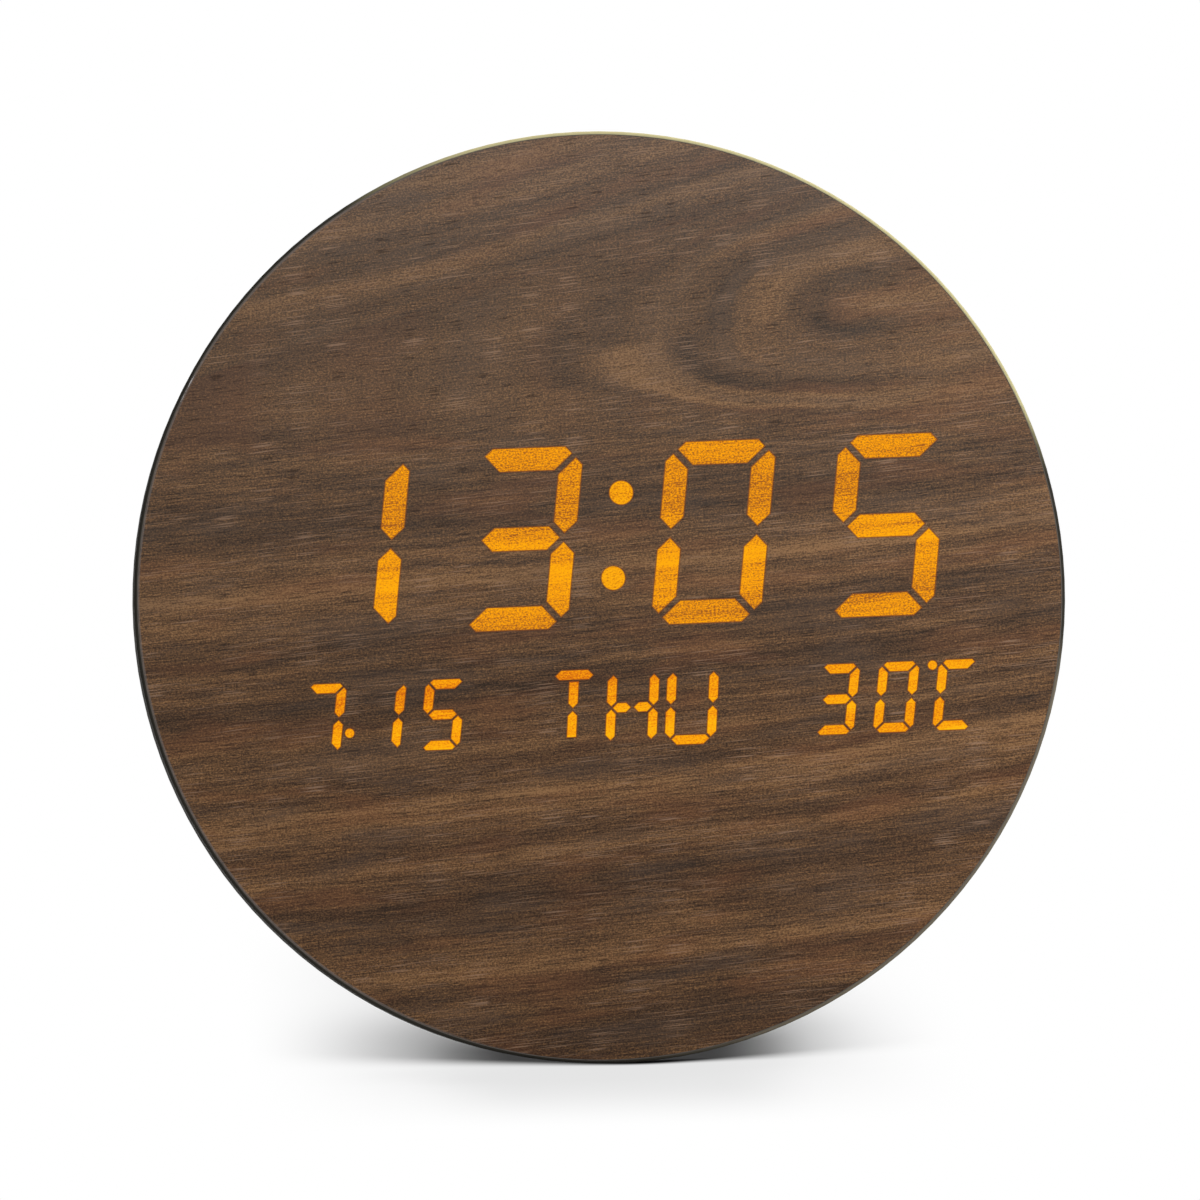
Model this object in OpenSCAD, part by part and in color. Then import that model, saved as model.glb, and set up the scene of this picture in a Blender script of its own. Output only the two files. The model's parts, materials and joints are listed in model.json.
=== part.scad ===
// Round desk clock: a wood-grain disc with a lit amber readout, leaning back on a fold-out easel leg.
// The front faces -Y, +X is to the right and +Z is up. The disc stands on its rim on the table at Z = 0.

/* [Case] */
// Outside diameter over the edge band
case_d = 250; // [246:1:300]
// Depth from the face to the back
case_depth = 24; // [23.5:0.5:32]
// Thickness of the black edge band
band_t = 1; // [0.8:0.1:2]
// Rounding of the two outer edges of the band
band_round = 0.6; // [0.2:0.05:0.7]
// Thickness of the walnut face film
veneer_t = 0.6; // [0.4:0.1:1]
// Wood in front of the hollow
front_wall = 5; // [4:0.25:5.5]
// Wood round the hollow
side_wall = 9; // [8:0.5:10]
// How far the disc leans back, in degrees
lean = 15; // [13:0.5:18]

/* [Time digits] */
// Height of a time digit
digit_h = 48.7; // [44:0.1:50]
// Width of a time digit
digit_w = 29.5; // [26:0.1:31]
// Thickness of a bar of a time digit
digit_bar = 6.2; // [5:0.1:7]
// Gap between two bars
digit_gap = 1.7; // [1:0.1:2.4]
// Cut across the outer corners of a digit
digit_bevel = 5; // [3.5:0.1:6]
// Slant of the time digits, in degrees
digit_slant = 7.6; // [0:0.1:10]
// Extra room for the colon between hours and minutes
colon_room = 5.5; // [4:0.1:8]
// Radius of a colon dot
colon_r = 3.2; // [2:0.05:4]
// Height of a colon dot above or below the middle of the row
colon_rise = 11.4; // [8:0.1:14]
// Distance from the left edge of the case to the middle of the first time digit
time_inset_left = 57.75; // [54:0.05:60]
// Distance from the right edge of the case to the middle of the last time digit
time_inset_right = 47.55; // [46:0.05:54]
// Middle of the time row, above the centre of the face
time_z = 16.3; // [14:0.1:18]

/* [Small readouts] */
// Height of a small digit
small_h = 18.8; // [16:0.1:20]
// Width of a small digit
small_w = 10.8; // [9:0.1:12]
// Thickness of a small bar
small_bar = 2.5; // [2:0.05:2.8]
// Gap between two small bars
small_gap = 0.6; // [0.5:0.05:0.9]
// Cut across the outer corners of a small digit
small_bevel = 1.9; // [1.3:0.1:2.4]
// Slant of the small digits, in degrees
small_slant = 8.3; // [0:0.1:10]
// Height of a weekday letter
letter_h = 21; // [18:0.1:22]
// Width of a weekday letter
letter_w = 13.8; // [12:0.1:14.5]
// Cut across the outer corners of a weekday letter
letter_bevel = 3.3; // [2.4:0.1:3.4]
// Slant of the weekday letters, in degrees
letter_slant = 5; // [0:0.1:8]
// Step from one small character to the next
small_pitch = 16; // [15.5:0.05:16.5]
// Middle of the small row, above the centre of the face
small_z = -29.9; // [-31:0.1:-29]
// Distance from the left edge of the case to the middle of the four date places
date_inset = 57.4; // [56:0.1:62]
// Middle of the weekday, right of the centre of the face
weekday_x = 7.3; // [4:0.1:10]
// Distance from the right edge of the case to the middle of the temperature
temperature_inset = 46.7; // [45:0.1:52]
// Radius of the date point and the degree dot
point_r = 1.25; // [0.9:0.05:1.5]

/* [Inside] */
// Depth of the light mask
mask_t = 6; // [5:0.25:6]
// Thickness of the circuit board
board_t = 1.6; // [1.2:0.1:2]
// Margin of the board beyond the readouts
board_margin = 4; // [3.5:0.25:5]
// Radius of a screw shank
screw_r = 1.25; // [1:0.05:1.5]
// Radius of a screw head
screw_head_r = 2.4; // [2:0.1:2.6]

/* [Back] */
// Thickness of the back cover
cover_t = 3; // [2.5:0.25:3.5]
// Wood left round the back cover
cover_rim = 4.5; // [3.5:0.25:5]
// Radius of the entry hole of the keyhole hanger
keyhole_r = 4.6; // [4:0.1:5.5]
// Half width of the slot of the keyhole hanger
keyhole_slot = 2.3; // [2:0.05:2.6]
// Distance of the keyhole entry below the upper edge of the cover
keyhole_drop = 23.4; // [19:0.1:25]
// Length of the slot above the keyhole entry
keyhole_rise = 9; // [7:0.5:11]
// Radius of the coin cell
cell_r = 10; // [8:0.1:10.2]
// Thickness of the coin cell
cell_t = 3.2; // [2.4:0.1:3.4]
// Radius of the opening of the power inlet
jack_bore_r = 3.1; // [2.9:0.05:3.3]

/* [Buttons] */
// Radius of a button cap
button_r = 4; // [3:0.1:5]
// How far a button stands out of the back
button_rise = 1.8; // [1.2:0.1:2.5]
// Travel of a button
button_travel = 0.6; // [0.3:0.05:0.7]
// Step between the buttons
button_pitch = 18; // [16:0.5:22]

/* [Stand] */
// Length of the leg from its pin to the table
leg_len = 190; // [180:1:192]
// Angle of the open leg to the back, in degrees
leg_open = 20; // [18:0.5:22]
// Thickness of the leg
leg_t = 4; // [3:0.1:4.2]
// Width of the leg at the hinge
leg_top_w = 40; // [34:1:46]
// Width of the leg at the foot
leg_foot_w = 64; // [56:1:66]
// Radius of the hinge pin
pin_r = 1.5; // [1.2:0.05:1.6]
// Thickness of the rubber pads
pad_t = 2; // [1.5:0.1:3]

/* [Hidden] */
$fn = 64;

// Clearances
band_fit = 0.05;
bar_fit = 0.06;
cover_fit = 0.15;
screw_fit = 0.05;
button_fit = 0.35;
mask_fit = 0.1;
window_margin = 1.2;
pin_fit = 0.05;

// Layers of the case, measured from the face towards the back
case_r = case_d / 2;
wood_r = case_r - band_t - band_fit;
hollow_r = wood_r - side_wall;
hollow_y = veneer_t + front_wall;
board_y = hollow_y + mask_t;
board_back = board_y + board_t;
cover_y = case_depth - cover_t;
cover_r = wood_r - cover_rim;
screw_ring_r = (hollow_r + cover_r) / 2;

// Stand: the disc rests on the lower back edge of the band, the leg reaches the same table
pin_off = leg_t + 0.6;
pin_y = case_depth + pin_off;
rest_z = (case_depth - band_round) * sin(lean) + (case_r - band_round) * cos(lean) + band_round;
foot_y = pin_y - leg_t / 2 * cos(leg_open) + leg_len * sin(leg_open);
pin_z = (foot_y * sin(lean) - rest_z) / cos(lean) + leg_t / 2 * sin(leg_open) + leg_len * cos(leg_open);
pin_world_y = pin_y * cos(lean) + pin_z * sin(lean);
pin_world_z = rest_z - pin_y * sin(lean) + pin_z * cos(lean);
front_most = band_round * cos(lean) - (case_r - band_round) * sin(lean) - band_round;
rear_most = pin_world_y + pin_world_z * tan(leg_open - lean);
shift_y = -(front_most + rear_most) / 2;
ear_in = leg_top_w / 2 + 0.4;
ear_out = ear_in + 6;
ear_reach = 9;
knuckle_r = pin_r + 1.7;
heel_h = 7;
heel_gap = 0.3;
leg_shoulder = ear_reach + 5;
leg_neck = leg_top_w / 2 - 0.6;
leg_frame = 7.5;
pad_w = 16;
pad_inset = 4;

// Styles of the characters: width, height, bar, half step of the gap, corner cut, slant
time_style = [digit_w, digit_h, digit_bar, digit_gap / sqrt(2), digit_bevel, tan(digit_slant)];
small_style = [small_w, small_h, small_bar, small_gap / sqrt(2), small_bevel, tan(small_slant)];
letter_style = [letter_w, letter_h, small_bar, small_gap / sqrt(2), letter_bevel, tan(letter_slant)];

// Places of the characters
time_x = (time_inset_left - time_inset_right) / 2;
digit_pitch = (case_d - time_inset_left - time_inset_right - colon_room) / 3;
date_x = date_inset - case_r;
temperature_x = case_r - temperature_inset;
time_at = [for (i = [0:3]) [time_x + (i - 1.5) * digit_pitch + (i < 2 ? -0.5 : 0.5) * colon_room, time_z]];
date_at = [for (i = [0:3]) [date_x + (i - 1.5) * small_pitch, small_z]];
weekday_at = [for (i = [0:2]) [weekday_x + (i - 1) * small_pitch, small_z]];
temperature_at = [for (i = [0:2]) [temperature_x + (i - 1) * small_pitch, small_z]];
time_text = ["1", "3", "0", "5"];
date_text = [" ", "7", "1", "5"];
weekday_text = ["T", "H", "U"];
temperature_text = ["3", "0", "C"];
colon_at = [for (s = [1, -1]) [time_x + s * colon_rise * tan(digit_slant), time_z + s * colon_rise]];
point_at = [date_at[1][0] + small_w / 2 + 1.5, small_z - 4];
degree_at = [temperature_at[2][0] - small_w / 2 - 0.5, small_z + small_h / 2 - point_r];

// Board outline and what sits on the board
board_left = date_at[0][0] - small_w / 2 - board_margin;
board_right = temperature_at[2][0] + small_w / 2 + board_margin;
board_top = time_z + digit_h / 2 + board_margin;
board_bottom = small_z - letter_h / 2 - board_margin;
time_reach = digit_w / 2 + digit_h / 2 * tan(digit_slant) + window_margin;
time_left = time_at[0][0] - time_reach;
time_right = time_at[3][0] + time_reach;
time_top = time_z + digit_h / 2 + window_margin;
time_bottom = time_z - digit_h / 2 - window_margin;
small_left = board_left + 1.6;
small_right = board_right - 1.6;
small_top = small_z + letter_h / 2 + window_margin;
small_bottom = small_z - letter_h / 2 - window_margin;
screw_low = (time_bottom + small_top) / 2;
screw_at = [
  [(board_left + time_left) / 2, time_z + 3],
  [(board_right + time_right) / 2, time_z + 3],
  [time_at[0][0] + digit_w / 4, screw_low],
  [time_x + colon_r, screw_low],
  [time_at[3][0] - digit_w / 4, screw_low]
];
button_inset = 17;
button_at = [for (i = [1, 0, -1]) [board_left + button_inset, i * button_pitch]];
jack_inset = 23.7;
jack_wall = 1.5;
jack_r = jack_bore_r + jack_wall;
jack_at = [board_right - jack_inset, small_z + 2];
cell_inset = 39.7;
cell_at = [board_right - cell_inset, time_z + 4];
buzzer_r = 6;
buzzer_at = [date_at[3][0] - buzzer_r + 2, small_z + 4];
chip_w = 12;
chip_at = [time_x - 9, time_z - 10];
crystal_at = [chip_at[0] + 1.5 * chip_w, chip_at[1]];
capacitor_r = 3.2;
capacitor_at = [jack_at[0] - 22, jack_at[1]];
sensor_at = [jack_at[0] - 40, small_z - 7];
keyhole_z = cover_r - keyhole_drop;
vent_w = 2;
vent_h = 16;
vent_pitch = 5;
vent_at = [for (sx = [-1, 1]) for (sz = [-1, 1]) [sx * case_r * 0.48, sz * case_r * 0.53]];
tab_w = 5;

// Coin cell bay, layers from the back inwards
door_t = 1.8;
door_y = case_depth - door_t;
ledge_t = 1.2;
groove_r = cell_r + 2.4;
groove_y = door_y - ledge_t - 1.6;
ledge_r = cell_r + 1;
door_r = cell_r + 3;
pocket_r = cell_r + 0.7;
cell_back = groove_y - 0.2;
cell_y = cell_back - cell_t;
bay_floor = cell_y - 0.8;
bay_y = max(board_back + 0.4, bay_floor - 1.4);

// Switch under each button, layers from the board outwards
switch_top = board_back + 3.4;
button_flange_y = cover_y - 0.05;
button_foot_y = button_flange_y - 1.2;
plunger_y = board_back + 1.6;

// Shapes of the bars, drawn upright with the middle of the character at 0, 0

function top_bar(w, h, t, k, b) = [
  [b - w / 2, h / 2], [w / 2 - b, h / 2],
  [w / 2 - (b + k) / 2, h / 2 - (b - k) / 2], [w / 2 - t - k, h / 2 - t],
  [t + k - w / 2, h / 2 - t], [(b + k) / 2 - w / 2, h / 2 - (b - k) / 2]
];

function side_bar(w, h, t, k, b) = [
  [w / 2, h / 2 - b], [w / 2, k + t / 2],
  [w / 2 - t / 2, k], [w / 2 - t, k + t / 2],
  [w / 2 - t, h / 2 - t - k], [w / 2 - (b - k) / 2, h / 2 - (b + k) / 2]
];

function lying_bar(x0, x1, t) = [
  [x0, 0], [x0 + t / 2, t / 2], [x1 - t / 2, t / 2],
  [x1, 0], [x1 - t / 2, -t / 2], [x0 + t / 2, -t / 2]
];

function standing_bar(t, z0, z1) = [
  [0, z0], [t / 2, z0 + t / 2], [t / 2, z1], [-t / 2, z1], [-t / 2, z0 + t / 2]
];

function flip(p, sx, sz) = [for (q = p) [q[0] * sx, q[1] * sz]];

function bar_shape(s, w, h, t, k, b) =
  s == "a" ? top_bar(w, h, t, k, b) :
  s == "b" ? side_bar(w, h, t, k, b) :
  s == "c" ? flip(side_bar(w, h, t, k, b), 1, -1) :
  s == "d" ? flip(top_bar(w, h, t, k, b), 1, -1) :
  s == "e" ? flip(side_bar(w, h, t, k, b), -1, -1) :
  s == "f" ? flip(side_bar(w, h, t, k, b), -1, 1) :
  s == "g" ? lying_bar(t / 2 + k - w / 2, w / 2 - t / 2 - k, t) :
  s == "h" ? lying_bar(t / 2 + k - w / 2, -k, t) :
  s == "i" ? lying_bar(k, w / 2 - t / 2 - k, t) :
  s == "j" ? standing_bar(t, k, h / 2 - t - k * 1.4) :
  flip(standing_bar(t, k, h / 2 - t - k * 1.4), 1, -1);

// A bar made larger on every side by c
function bar_points(s, y, c) = [
  for (p = bar_shape(s, y[0] + 2 * c, y[1] + 2 * c, y[2] + 2 * c, y[3] - c * sqrt(2), y[4] + c * 0.586))
    [p[0] + y[5] * p[1], p[1]]
];

// Middle of a bar
function bar_middle(s, y) = let (p = bar_points(s, y, 0), n = len(p))
  [for (i = [0, 1]) (min([for (q = p) q[i]]) + max([for (q = p) q[i]])) / 2];

// Bars that light up for a character
function lit(ch) =
  ch == "0" ? "abcdef" :
  ch == "1" ? "bc" :
  ch == "3" ? "abcdg" :
  ch == "5" ? "acdfg" :
  ch == "7" ? "abc" :
  ch == "C" ? "adef" :
  ch == "T" ? "ajk" :
  ch == "H" ? "bcefhi" :
  ch == "U" ? "bcdef" : "";

function is_in(s, set) = len(search(s, set)) > 0;

// Outlines with round corners, each corner an arc of the given radius
function unit(v) = v / norm(v);
function corner(a, b, c, r) = let (
    u = unit(a - b), v = unit(c - b), half = acos(u * v) / 2,
    mid = b + unit(u + v) * r / sin(half),
    start = b + u * r / tan(half) - mid, stop = b + v * r / tan(half) - mid,
    turn = sign(start[0] * stop[1] - start[1] * stop[0]) * acos(start * stop / (r * r))
  ) [for (i = [0:6]) let (w = turn * i / 6)
      mid + [start[0] * cos(w) - start[1] * sin(w), start[0] * sin(w) + start[1] * cos(w)]];
function round_outline(p, r) = [
  for (i = [0:len(p) - 1])
    each corner(p[(i + len(p) - 1) % len(p)], p[i], p[(i + 1) % len(p)], r[i])
];

// Placing

// Disc frame to the standing clock
module stood() {
  translate([0, shift_y, rest_z])
    rotate([-lean, 0, 0])
      children();
}

// A flat outline in the face plane, made solid between two depths
module slab(y0, y1) {
  translate([0, y1, 0])
    rotate([90, 0, 0])
      linear_extrude(y1 - y0)
        children();
}

// A round piece whose axis runs from front to back
module turned(at, y0) {
  translate([at[0], y0, at[1]])
    rotate([-90, 0, 0])
      children();
}

module rod(at, r, y0, y1) {
  turned(at, y0)
    cylinder(r = r, h = y1 - y0);
}

module block(at, size, y0, y1) {
  translate([at[0] - size[0] / 2, y0, at[1] - size[1] / 2])
    cube([size[0], y1 - y0, size[1]]);
}

// Folded leg frame to the open leg, in the disc frame
module opened() {
  translate([0, pin_y, pin_z])
    rotate([leg_open, 0, 0])
      children();
}

// Readout outlines

module bars_2d(text, at, style, from, to, set, want, grow) {
  for (i = [from:to])
    for (s = set)
      if (want == "all" || (want == "lit") == is_in(s, lit(text[i])))
        translate(at[i])
          polygon(bar_points(s, style, grow));
}

module time_2d(from, to, want, grow) {
  bars_2d(time_text, time_at, time_style, from, to, "abcdefg", want, grow);
}

module date_2d(want, grow) {
  bars_2d(date_text, date_at, small_style, 0, 3, "abcdefg", want, grow);
}

module weekday_2d(want, grow) {
  bars_2d(weekday_text, weekday_at, letter_style, 0, 2, "abcdefhijk", want, grow);
}

module temperature_2d(want, grow) {
  bars_2d(temperature_text, temperature_at, small_style, 0, 2, "abcdefg", want, grow);
}

module dots_2d(at, r) {
  for (p = at)
    translate(p)
      circle(r = r);
}

module readout_2d(want, grow_time, grow_small) {
  time_2d(0, 3, want, grow_time);
  dots_2d(colon_at, colon_r + grow_time);
  date_2d(want, grow_small);
  weekday_2d(want, grow_small);
  temperature_2d(want, grow_small);
  dots_2d([point_at, degree_at], point_r + grow_small);
}

// Two plain windows in the wood, one for each row
module windows_2d(grow) {
  translate([time_left - grow, time_bottom - grow])
    square([time_right - time_left + 2 * grow, time_top - time_bottom + 2 * grow]);
  translate([small_left - grow, small_bottom - grow])
    square([small_right - small_left + 2 * grow, small_top - small_bottom + 2 * grow]);
}

module board_2d() {
  intersection() {
    translate([board_left, board_bottom])
      square([board_right - board_left, board_top - board_bottom]);
    circle(r = hollow_r - 0.8);
  }
}

// Case

module veneer_face() {
  color("saddlebrown")
    stood()
      difference() {
        rod([0, 0], wood_r, 0, veneer_t);
        slab(-1, veneer_t + 1)
          readout_2d("lit", bar_fit, bar_fit);
      }
}

module wood_body() {
  color("peru")
    stood()
      difference() {
        rod([0, 0], wood_r, veneer_t, case_depth);
        rod([0, 0], hollow_r, hollow_y, case_depth + 1);
        rod([0, 0], cover_r + cover_fit, cover_y, case_depth + 1);
        slab(veneer_t - 1, hollow_y + 1)
          windows_2d(mask_fit);
        for (p = screw_at)
          rod(p, screw_r + screw_fit, hollow_y - 3.4, hollow_y + 1);
        for (w = [0:60:300])
          rod(screw_ring_r * [cos(w), sin(w)], screw_r + screw_fit, cover_y - 10, cover_y + 1);
      }
}

module edge_band() {
  color("black")
    stood()
      turned([0, 0], 0)
        rotate_extrude($fn = 180)
          intersection() {
            translate([case_r - band_t, 0])
              square([band_t, case_depth]);
            union() {
              translate([case_r - 2 * band_t, 0])
                square([2 * band_t - band_round, case_depth]);
              translate([case_r - 2 * band_t, band_round])
                square([2 * band_t, case_depth - 2 * band_round]);
              translate([case_r - band_round, band_round])
                circle(r = band_round);
              translate([case_r - band_round, case_depth - band_round])
                circle(r = band_round);
            }
          }
}

// Readout

module time_bars(i) {
  color("orange")
    stood()
      slab(0, hollow_y)
        time_2d(i, i, "lit", 0);
}

module hour_tens_bars() {
  time_bars(0);
}

module hour_ones_bars() {
  time_bars(1);
}

module minute_tens_bars() {
  time_bars(2);
}

module minute_ones_bars() {
  time_bars(3);
}

module colon_dots() {
  color("orange")
    stood()
      slab(0, hollow_y)
        dots_2d(colon_at, colon_r);
}

module date_bars() {
  color("orange")
    stood()
      slab(0, hollow_y) {
        date_2d("lit", 0);
        dots_2d([point_at], point_r);
      }
}

module weekday_bars() {
  color("orange")
    stood()
      slab(0, hollow_y)
        weekday_2d("lit", 0);
}

module temperature_bars() {
  color("orange")
    stood()
      slab(0, hollow_y) {
        temperature_2d("lit", 0);
        dots_2d([degree_at], point_r);
      }
}

module dark_bars() {
  color("dimgray")
    stood()
      slab(veneer_t, hollow_y) {
        time_2d(0, 3, "dark", 0);
        date_2d("dark", 0);
        weekday_2d("dark", 0);
        temperature_2d("dark", 0);
      }
}

// Inside

module light_mask() {
  color("white")
    stood()
      difference() {
        union() {
          slab(hollow_y, board_y)
            board_2d();
          slab(veneer_t, hollow_y + 1)
            windows_2d(0);
        }
        slab(veneer_t - 1, hollow_y)
          readout_2d("all", bar_fit, bar_fit);
        slab(hollow_y - 1, board_y + 1)
          readout_2d("all", -0.3, -0.35);
        for (p = screw_at)
          rod(p, screw_r + screw_fit, hollow_y - 1, board_y + 1);
      }
}

module display_board() {
  color("darkgreen")
    stood()
      difference() {
        slab(board_y, board_back)
          board_2d();
        for (p = screw_at)
          rod(p, screw_r + screw_fit, board_y - 1, board_back + 1);
      }
}

module leds(at, style, n, set, size) {
  for (i = [0:n - 1])
    for (s = set) {
      lies = is_in(s, "adghi");
      block(at[i] + bar_middle(s, style), lies ? size : [size[1], size[0]], board_y - 0.8, board_y);
    }
}

module segment_leds() {
  color("ivory")
    stood() {
      leds(time_at, time_style, 4, "abcdefg", [3.2, 2.6]);
      leds(date_at, small_style, 4, "abcdefg", [1.6, 0.8]);
      leds(weekday_at, letter_style, 3, "abcdefhijk", [1.6, 0.8]);
      leds(temperature_at, small_style, 3, "abcdefg", [1.6, 0.8]);
      for (p = colon_at)
        block(p, [3.2, 2.6], board_y - 0.8, board_y);
      for (p = [point_at, degree_at])
        block(p, [0.9, 0.8], board_y - 0.8, board_y);
    }
}

module board_screws() {
  color("silver")
    stood()
      for (p = screw_at)
        difference() {
          union() {
            rod(p, screw_r, hollow_y - 3.2, board_back);
            rod(p, screw_head_r, board_back, board_back + 1.6);
          }
          cross_cut(p, board_back + 0.8);
        }
}

module cross_cut(p, y0) {
  block(p, [screw_head_r * 1.3, 0.6], y0, y0 + 2);
  block(p, [0.6, screw_head_r * 1.3], y0, y0 + 2);
}

module control_chip() {
  color("dimgray")
    stood() {
      block(chip_at, [chip_w, chip_w], board_back + 0.2, board_back + 1.8);
      for (s = [-1, 1])
        for (i = [-3:3]) {
          block(chip_at + chip_w * [s * 0.55, i * 0.13], [1.4, 0.6], board_back, board_back + 0.4);
          block(chip_at + chip_w * [i * 0.13, s * 0.55], [0.6, 1.4], board_back, board_back + 0.4);
        }
    }
}

module clock_crystal() {
  color("silver")
    stood() {
      block(crystal_at, [3, 8], board_back, board_back + 0.4);
      block(crystal_at, [2.4, 7.4], board_back + 0.4, board_back + 2.2);
    }
}

module buzzer() {
  color("dimgray")
    stood()
      difference() {
        rod(buzzer_at, buzzer_r, board_back, cover_y - 1);
        rod(buzzer_at, 1, cover_y - 3, cover_y);
      }
}

module capacitor() {
  color("slategray")
    stood() {
      rod(capacitor_at, capacitor_r, board_back, cover_y - 1.2);
    }
}

module temperature_sensor() {
  color("black")
    stood() {
      translate([sensor_at[0], board_back + 3.6, sensor_at[1]])
        sphere(r = 1.5);
      for (s = [-0.8, 0.8])
        rod(sensor_at + [s, 0], 0.3, board_back, board_back + 3.6);
    }
}

module dc_jack() {
  color("dimgray")
    stood() {
      difference() {
        rod(jack_at, jack_r, board_back, case_depth + 0.6);
        rod(jack_at, jack_bore_r, case_depth - 8.5, case_depth + 1);
      }
      rod(jack_at, 1, case_depth - 8.6, case_depth - 0.6);
    }
}

// Buttons

module push_switch(at) {
  color("dimgray")
    stood()
      difference() {
        block(at, [6, 6], board_back, switch_top);
        rod(at, 1.75 + button_fit, plunger_y - button_travel - 0.2, switch_top + 1);
      }
}

module set_switch() {
  push_switch(button_at[0]);
}

module up_switch() {
  push_switch(button_at[1]);
}

module down_switch() {
  push_switch(button_at[2]);
}

module plunger(at) {
  color("ivory")
    stood()
      rod(at, 1.75, plunger_y, button_foot_y);
}

module set_plunger() {
  plunger(button_at[0]);
}

module up_plunger() {
  plunger(button_at[1]);
}

module down_plunger() {
  plunger(button_at[2]);
}

module button(at) {
  color("dimgray")
    stood()
      turned(at, button_foot_y)
        rotate_extrude()
          union() {
            square([button_r + 1.2, button_flange_y - button_foot_y]);
            square([button_r - 0.5, case_depth + button_rise - button_foot_y]);
            square([button_r, case_depth + button_rise - button_foot_y - 0.5]);
            translate([button_r - 0.5, case_depth + button_rise - button_foot_y - 0.5])
              circle(r = 0.5);
          }
}

module set_button() {
  button(button_at[0]);
}

module up_button() {
  button(button_at[1]);
}

module down_button() {
  button(button_at[2]);
}

// Back

module rear_cover() {
  color("dimgray")
    stood()
      difference() {
        union() {
          rod([0, 0], cover_r, cover_y, case_depth);
          rod(cell_at, groove_r + 1.6, bay_y, cover_y + 0.5);
          for (s = [-1, 1])
            translate([s < 0 ? -ear_out : ear_in, 0, 0])
              ear();
        }
        hinge_bore(pin_r);
        for (w = [0:60:300])
          countersink(screw_ring_r * [cos(w), sin(w)], 0.1);
        for (p = button_at)
          rod(p, button_r + button_fit, cover_y - 1, case_depth + 1);
        rod(jack_at, jack_r + 0.35, cover_y - 1, case_depth + 1);
        keyhole();
        vents();
        cell_bay();
      }
}

module ear() {
  rotate([0, 90, 0])
    rotate([0, 0, 90])
      linear_extrude(ear_out - ear_in)
        union() {
          translate([pin_y, pin_z])
            circle(r = knuckle_r + 0.8);
          polygon([
            [cover_y + 0.5, pin_z - ear_reach], [case_depth, pin_z - ear_reach],
            [pin_y, pin_z - knuckle_r - 0.8], [pin_y, pin_z + knuckle_r + 0.8],
            [case_depth, pin_z + ear_reach], [cover_y + 0.5, pin_z + ear_reach]
          ]);
        }
}

module hinge_bore(r) {
  translate([-ear_out - 1, pin_y, pin_z])
    rotate([0, 90, 0])
      cylinder(r = r, h = 2 * ear_out + 2);
}

module countersink(p, grow) {
  rod(p, screw_r + 0.2 + grow, cover_y - 1, case_depth + 1);
  turned(p, case_depth - 1.6)
    cylinder(r1 = screw_r + grow, r2 = screw_head_r + grow, h = 1.6);
}

module keyhole() {
  rod([0, keyhole_z], keyhole_r, cover_y - 1, case_depth + 1);
  rod([0, keyhole_z + keyhole_rise], keyhole_slot, cover_y - 1, case_depth + 1);
  block([0, keyhole_z + keyhole_rise / 2], [2 * keyhole_slot, keyhole_rise], cover_y - 1, case_depth + 1);
}

module vents() {
  for (i = [-2:2]) {
    slit = [vent_w * 0.8, buzzer_r * (2 - abs(i) / 3)];
    block(buzzer_at + [i * buzzer_r * 0.65, 0], slit, cover_y - 1, case_depth + 1);
    for (p = vent_at)
      block(p + [i * vent_pitch, 0], [vent_w, vent_h], cover_y - 1, case_depth + 1);
  }
}

module cell_bay() {
  rod(cell_at, pocket_r, bay_floor, case_depth + 1);
  rod(cell_at, groove_r, groove_y, door_y - ledge_t);
  rod(cell_at, ledge_r + 0.1, groove_y, case_depth + 1);
  rod(cell_at, door_r + button_fit, door_y, case_depth + 1);
  for (s = [-1, 1]) {
    block(cell_at + [0, s * (groove_r + ledge_r) / 2], [tab_w + 3, 4], groove_y, door_y + 0.5);
    rod(cell_at + [s * 7, 0], 0.7, bay_y - 1, bay_floor + 1);
  }
}

module cover_screws() {
  color("silver")
    stood()
      for (w = [0:60:300]) {
        p = screw_ring_r * [cos(w), sin(w)];
        difference() {
          union() {
            rod(p, screw_r, cover_y - 9, case_depth - 1.2);
            turned(p, case_depth - 1.6)
              cylinder(r1 = screw_r, r2 = screw_head_r, h = 1.6);
          }
          cross_cut(p, case_depth - 0.8);
        }
      }
}

module backup_cell() {
  color("silver")
    stood() {
      rod(cell_at, cell_r - 1.2, cell_y, cell_y + 0.8);
      rod(cell_at, cell_r, cell_y + 0.6, cell_back);
    }
}

module cell_contacts() {
  color("gold")
    stood() {
      block(cell_at + [3, 0], [10, 4], bay_floor, bay_floor + 0.3);
      rod(cell_at, 1.5, bay_floor + 0.2, cell_y);
      rod(cell_at + [7, 0], 0.5, board_back, bay_floor + 0.2);
      block(cell_at + [-(cell_r + 5.6) / 2 - 0.2, 0], [cell_r - 5.2, 4], bay_floor, bay_floor + 0.3);
      block(cell_at + [-cell_r - 0.25, 0], [0.3, 4], bay_floor, cell_back - 0.3);
      rod(cell_at + [-7, 0], 0.5, board_back, bay_floor + 0.2);
    }
}

module cell_door() {
  color("dimgray")
    stood()
      difference() {
        union() {
          rod(cell_at, door_r, door_y + 0.1, case_depth);
          rod(cell_at, ledge_r - 0.3, groove_y + 0.1, door_y + 0.3);
          for (w = [30, 210])
            translate([cell_at[0], 0, cell_at[1]])
              rotate([0, w, 0])
                translate([ledge_r - 2, groove_y + 0.2, -tab_w / 2])
                  cube([groove_r - ledge_r + 1.4, door_y - ledge_t - 0.4 - groove_y, tab_w]);
        }
        block(cell_at, [14, 2], case_depth - 1, case_depth + 1);
      }
}

// Stand

module hinge_pin() {
  color("silver")
    stood()
      translate([-ear_out, pin_y, pin_z])
        rotate([0, 90, 0])
          cylinder(r = pin_r, h = 2 * ear_out);
}

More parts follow.
